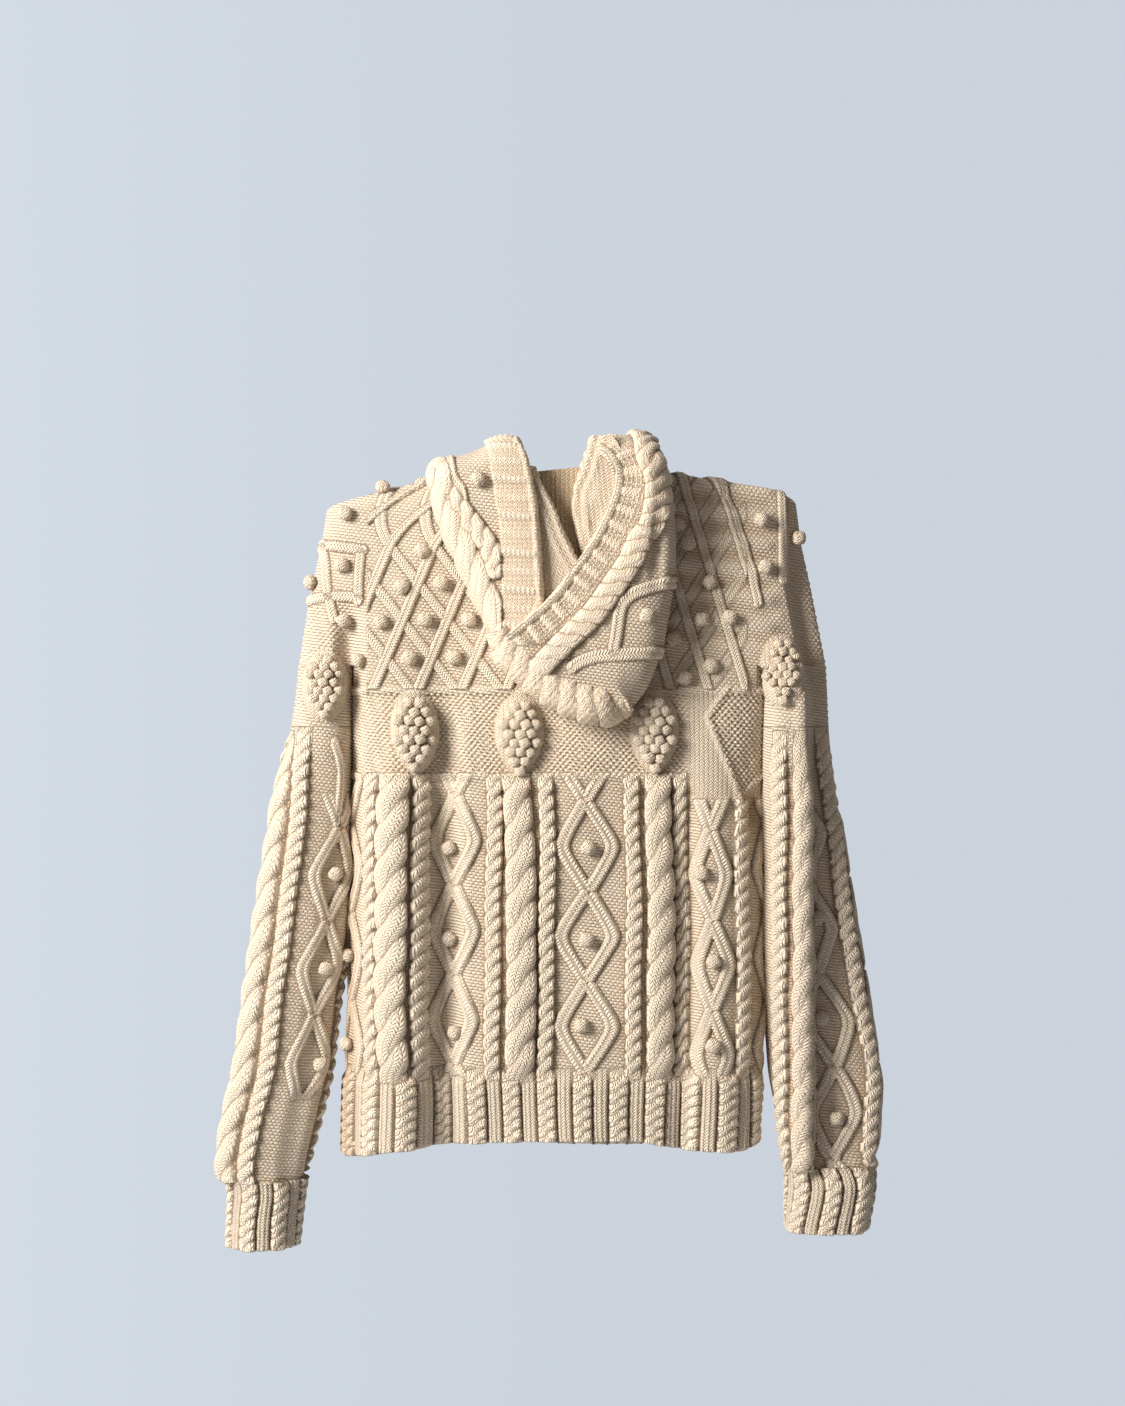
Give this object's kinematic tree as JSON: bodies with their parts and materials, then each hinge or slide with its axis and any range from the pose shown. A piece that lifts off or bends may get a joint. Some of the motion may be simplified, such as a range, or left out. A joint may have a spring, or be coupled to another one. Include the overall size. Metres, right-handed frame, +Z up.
{
  "type": "hooded pullover",
  "caption": "Hooded cable-knit pullover in cream wool, hanging by its neck and shoulders with the hood folded down its back and both sleeves straight down.",
  "frame": {"origin": "middle of the neck, level with the top of what the garment hangs on", "axes": "+Z is up, -Y is the garment's back, which the picture shows, and +X is the wearer's right"},
  "size_m": [0.6026, 0.1272, 0.7375],
  "materials": {
    "wool": "thick cabled wool knit, matt with a soft halo of fibres",
    "inner_wool": "wrong side of the same wool knit, matt"
  },
  "bodies": {
    "root": {"back_yoke": "wool", "back_moss_band": "wool", "back_body": "wool", "back_hem_rib": "wool", "front_yoke": "wool", "front_moss_band": "wool", "front_body": "wool", "front_hem_rib": "wool", "left_raglan_cap": "wool", "right_raglan_cap": "wool", "hood_left_stand": "wool", "hood_right_stand": "wool"},
    "left_sleeve_body": {"left_sleeve": "wool", "left_cuff": "wool"},
    "right_sleeve_body": {"right_sleeve": "wool", "right_cuff": "wool"},
    "hood_body": {"hood_inner": "inner_wool", "hood_crown": "wool", "hood_left_flap": "wool", "hood_left_band": "wool", "hood_right_band": "wool", "hood_right_flap": "wool"}
  },
  "joints": [
    {"name": "left_sleeve_lift", "type": "hinge", "parent": "root", "child": "left_sleeve_body", "pos_m": [-0.2, 0, -0.06], "axis": [0, 1, 0], "range_deg": [0, 75]},
    {"name": "right_sleeve_lift", "type": "hinge", "parent": "root", "child": "right_sleeve_body", "pos_m": [0.2, 0, -0.06], "axis": [0, -1, 0], "range_deg": [0, 75]},
    {"name": "hood_fold", "type": "hinge", "parent": "root", "child": "hood_body", "pos_m": [0, -0.03, -0.002], "axis": [-1, 0, 0], "range_deg": [0, 130]}
  ]
}
